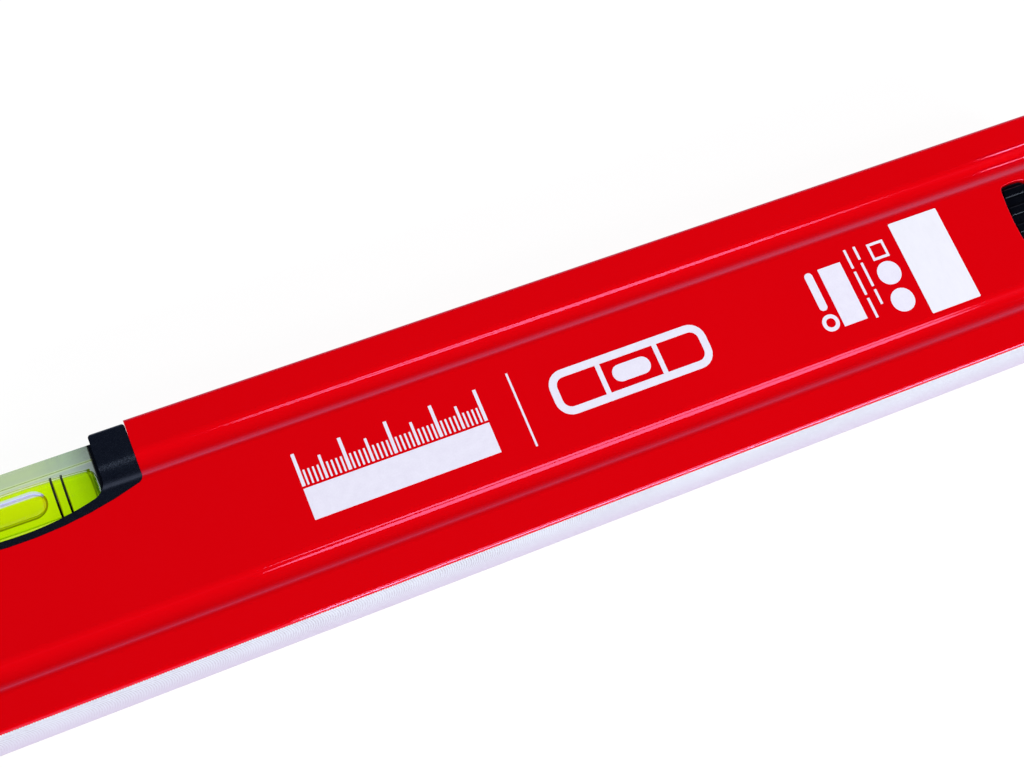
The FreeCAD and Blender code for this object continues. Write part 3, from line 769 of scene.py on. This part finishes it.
def barrel_stations(layout):
    """Stations of the barrel between its flat end and its domed end."""
    middle = (layout["low"] + layout["high"]) / 2
    half = (layout["high"] - layout["low"]) / 2
    swell = layout["radius"] - bore_end_radius
    bend = (half ** 2 + swell ** 2) / (2 * swell)
    stations = [(layout["low"], 0.0)]
    for step in range(barrel_steps + 1):
        along = half * (2 * step / barrel_steps - 1)
        stations.append((middle + along, layout["radius"] - bend + math.sqrt(bend ** 2 - along ** 2)))
    for step in range(dome_steps):
        angle = math.pi / 2 * step / dome_steps
        stations.append((layout["high"] + dome_height * math.sin(angle), dome_radius * math.cos(angle)))
    stations.append((layout["high"] + dome_height, 0.0))
    return stations


def bubble_stations(length, width):
    """Stations of a round-ended bubble, straight between its ends."""
    radius = width / 2
    straight = length / 2 - radius
    left = [(-length / 2, 0.0)]
    for step in range(1, bubble_steps + 1):
        angle = math.pi / 2 * (1 - step / bubble_steps)
        left.append((-straight - radius * math.sin(angle), radius * math.cos(angle)))
    return left + [(-distance, size) for distance, size in reversed(left)]


def clear_block(layout):
    """Plain block with eased edges."""
    work = bmesh.new()
    bmesh.ops.create_cube(work, size=1)
    bmesh.ops.scale(work, vec=layout["block"], verts=work.verts)
    bmesh.ops.bevel(
        work, geom=work.edges[:], offset=block_edge, segments=edge_steps, profile=round_profile,
        affect="EDGES")
    return work


for vial, layout in layouts.items():
    length, width = layout["bubble"]
    flatness = 2 * bubble_half_thick / width
    pieces = (
        ("block", clear_block(layout), make_acrylic(layout), "level", "clear_acrylic", False),
        ("liquid", turned(barrel_stations(layout)), make_lime(layout), "level", "vial_liquid", True),
        ("bubble", turned(bubble_stations(length, width), flatness, bubble_rise), make_air(layout),
         f"{vial}_bubble", "air_bubble", True))
    for node, work, material, body, slot, smooth in pieces:
        piece = new_piece(f"{vial}_clear_{node}", work, material, body, layout["place"], smooth)
        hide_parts(f"{vial}_vial_{node}")

# %% [markdown]
# The face carries plain white marks in thin ink: a graduated rule over a bar, a divider, a vial
# sign, a ring with a line, a panel, dashes, a small frame with two dots, and a blank label.
# They could be painted by masks in the coating's material, but a mask has soft or ragged edges up
# close. So each mark is a thin plate that starts just inside the face and stands a few hundredths
# of a millimetre proud.

# %% Ink and paper
ink_grain_depth = 0.004 * MM
ink_grain_coarse = 0.5


def printed(name, dark, light, scale, low, high, stretch=(1, 1, 1)):
    """Thin print: a pale colour with a fine speckle in its colour, gloss and surface."""
    material, tree, shader = new_material(name, light, high)
    speckle = place_grain(tree, scale, low, high, ink_grain_coarse, stretch)
    feed(tree, mixed(tree, speckle.outputs["Height"], dark, light), shader.inputs["Base Color"])
    join(tree, speckle.outputs["Roughness"], shader.inputs["Roughness"])
    bump_from(tree, speckle.outputs["Height"], ink_grain_depth, shader)
    return material


ink = printed(
    "white_ink", dark=(0.68, 0.64, 0.80), light=(0.82, 0.79, 0.94), scale=2600, low=0.38, high=0.6)
label_paper = printed(
    "label_paper", dark=(0.74, 0.72, 0.83), light=(0.82, 0.80, 0.92), scale=1500, low=0.32,
    high=0.5, stretch=(1, 0.4, 1))

# %% Plates for the marks
notch_edge_x = 25.1 * MM
ink_height = 0.03 * MM
label_height = 0.06 * MM
ink_foot = 0.01 * MM
ink_corner = 0.08 * MM
corner_steps = 6


def rounded_outline(low, high, radius):
    """Points round a rectangle with rounded corners."""
    corners = (
        (high[0] - radius, high[1] - radius), (low[0] + radius, high[1] - radius),
        (low[0] + radius, low[1] + radius), (high[0] - radius, low[1] + radius))
    points = []
    for quarter, (x, y) in enumerate(corners):
        for step in range(corner_steps + 1):
            angle = math.pi / 2 * (quarter + step / corner_steps)
            points.append((x + radius * math.cos(angle), y + radius * math.sin(angle)))
    return points


def add_plate(work, outline, height, hole=None):
    """Thin plate on the face, or a frame where a like outline is given as its hole."""
    layers = []
    for loop in [outline] if hole is None else [outline, hole]:
        lower = [work.verts.new((x, y, face_z - ink_foot)) for x, y in loop]
        upper = [work.verts.new((x, y, face_z + height)) for x, y in loop]
        layers.append((lower, upper))
        for index in range(len(loop)):
            after = (index + 1) % len(loop)
            work.faces.new((lower[index], lower[after], upper[after], upper[index]))
    for level in (0, 1):
        outer = layers[0][level]
        if hole is None:
            work.faces.new(outer)
            continue
        inner = layers[1][level]
        for index in range(len(outline)):
            after = (index + 1) % len(outline)
            work.faces.new((outer[index], outer[after], inner[after], inner[index]))


def mark(work, middle, width, upper, lower, corner=ink_corner, height=ink_height, line=None):
    """Upright rectangle on the face: its middle and width along it, its ends down from the top edge.

    With a line width it is a frame instead of a filled shape."""
    low = (notch_edge_x + middle - width / 2, top_y - lower)
    high = (notch_edge_x + middle + width / 2, top_y - upper)
    hole = None
    if line is not None:
        hole = rounded_outline(
            (low[0] + line, low[1] + line), (high[0] - line, high[1] - line), max(corner - line, ink_corner))
    add_plate(work, rounded_outline(low, high, corner), height, hole)


def finish_mark(name, work, material=ink):
    """Turn a mark into a piece that rides on the level."""
    new_piece(name, work, material, "level", smooth=False)


# %% [markdown]
# The rule has a tick at every millimetre, longer at each fifth and longest at each tenth, as rulers
# have. It needs no figures to be understood, and it stands on a plain bar.

# %% Rule, bar and divider
rule_left = 28.0 * MM
rule_length = 39.8 * MM
rule_upper, rule_lower = 18.2 * MM, 25.2 * MM
tick_pitch = 1.0 * MM
tick_widths = {10: 0.72 * MM, 5: 0.56 * MM, 1: 0.4 * MM}
tick_shares = {10: 1.0, 5: 0.72, 1: 0.46}
bar_upper, bar_lower = 25.7 * MM, 32.4 * MM
divider_middle, divider_width = 75.1 * MM, 0.45 * MM
divider_upper, divider_lower = 17.2 * MM, 33.8 * MM

work = bmesh.new()
tick_count = round(rule_length / tick_pitch)
first_tick = rule_left + tick_widths[10] / 2
tick_step = (rule_length - tick_widths[10]) / tick_count
for number in range(tick_count + 1):
    rank = next(size for size in (10, 5, 1) if number % size == 0)
    upper = rule_lower - tick_shares[rank] * (rule_lower - rule_upper)
    mark(work, first_tick + number * tick_step, tick_widths[rank], upper, rule_lower)
finish_mark("mark_rule", work)

work = bmesh.new()
mark(work, rule_left + rule_length / 2, rule_length, bar_upper, bar_lower)
finish_mark("mark_bar", work)

work = bmesh.new()
mark(work, divider_middle, divider_width, divider_upper, divider_lower)
finish_mark("mark_divider", work)

# %% [markdown]
# The vial sign is a small picture of a vial: a rounded frame, two rings and a bubble between them.

# %% Vial sign
sign_middle, sign_width = 100.25 * MM, 36.1 * MM
sign_upper, sign_lower = 20.25 * MM, 30.3 * MM
sign_line = 1.7 * MM
sign_corner = 3.6 * MM
sign_ring_place, sign_ring_width = 6.6 * MM, 1.1 * MM
sign_bubble_width, sign_bubble_height = 8.6 * MM, 3.8 * MM

work = bmesh.new()
mark(work, sign_middle, sign_width, sign_upper, sign_lower, sign_corner, line=sign_line)
for side in (-1, 1):
    mark(work, sign_middle + side * sign_ring_place, sign_ring_width,
         sign_upper + sign_line, sign_lower - sign_line)
sign_centre = (sign_upper + sign_lower) / 2
mark(work, sign_middle, sign_bubble_width, sign_centre - sign_bubble_height / 2,
     sign_centre + sign_bubble_height / 2, sign_bubble_height / 2 - ink_corner)
finish_mark("mark_vial_sign", work)

# %% [markdown]
# Near the right end stand the small marks. The blank label is paper, so it is a little thicker
# than the ink, with a grain of its own.

# %% Small marks near the right end
ring_middle, ring_centre, ring_size, ring_line = 145.5 * MM, 30.6 * MM, 3.9 * MM, 0.9 * MM
line_width, line_upper, line_lower = 1.9 * MM, 18.5 * MM, 27.6 * MM
panel_middle, panel_width = 150.9 * MM, 5.65 * MM
panel_upper, panel_lower = 18.5 * MM, 32.4 * MM
dash_width, dash_gap = 0.6 * MM, 0.8 * MM
dash_rows = ((155.9 * MM, 16.3 * MM, (4.6, 5.7, 4.8)), (158.3 * MM, 16.3 * MM, (3.2, 5.8, 3.6)))
square_middle, square_upper, square_size, square_line = 163.2 * MM, 16.8 * MM, 4.1 * MM, 0.6 * MM
dot_middle, dot_centres, dot_size = 163.2 * MM, (24.5 * MM, 31.2 * MM), 5.5 * MM
label_middle, label_width = 174.25 * MM, 12.3 * MM
label_upper, label_lower, label_corner = 14.1 * MM, 36.4 * MM, 0.25 * MM

work = bmesh.new()
mark(work, ring_middle, ring_size, ring_centre - ring_size / 2, ring_centre + ring_size / 2,
     ring_size / 2 - ink_corner, line=ring_line)
mark(work, ring_middle, line_width, line_upper, line_lower, line_width / 2 - ink_corner)
finish_mark("mark_ring_and_line", work)

work = bmesh.new()
mark(work, panel_middle, panel_width, panel_upper, panel_lower)
finish_mark("mark_panel", work)

work = bmesh.new()
for middle, upper, lengths in dash_rows:
    for length in lengths:
        mark(work, middle, dash_width, upper, upper + length * MM)
        upper += length * MM + dash_gap
finish_mark("mark_dashes", work)

work = bmesh.new()
mark(work, square_middle, square_size, square_upper, square_upper + square_size, line=square_line)
for centre in dot_centres:
    mark(work, dot_middle, dot_size, centre - dot_size / 2, centre + dot_size / 2, dot_size / 2 - ink_corner)
finish_mark("mark_square_and_dots", work)

work = bmesh.new()
mark(work, label_middle, label_width, label_upper, label_lower, label_corner, label_height)
finish_mark("blank_label", work, label_paper)
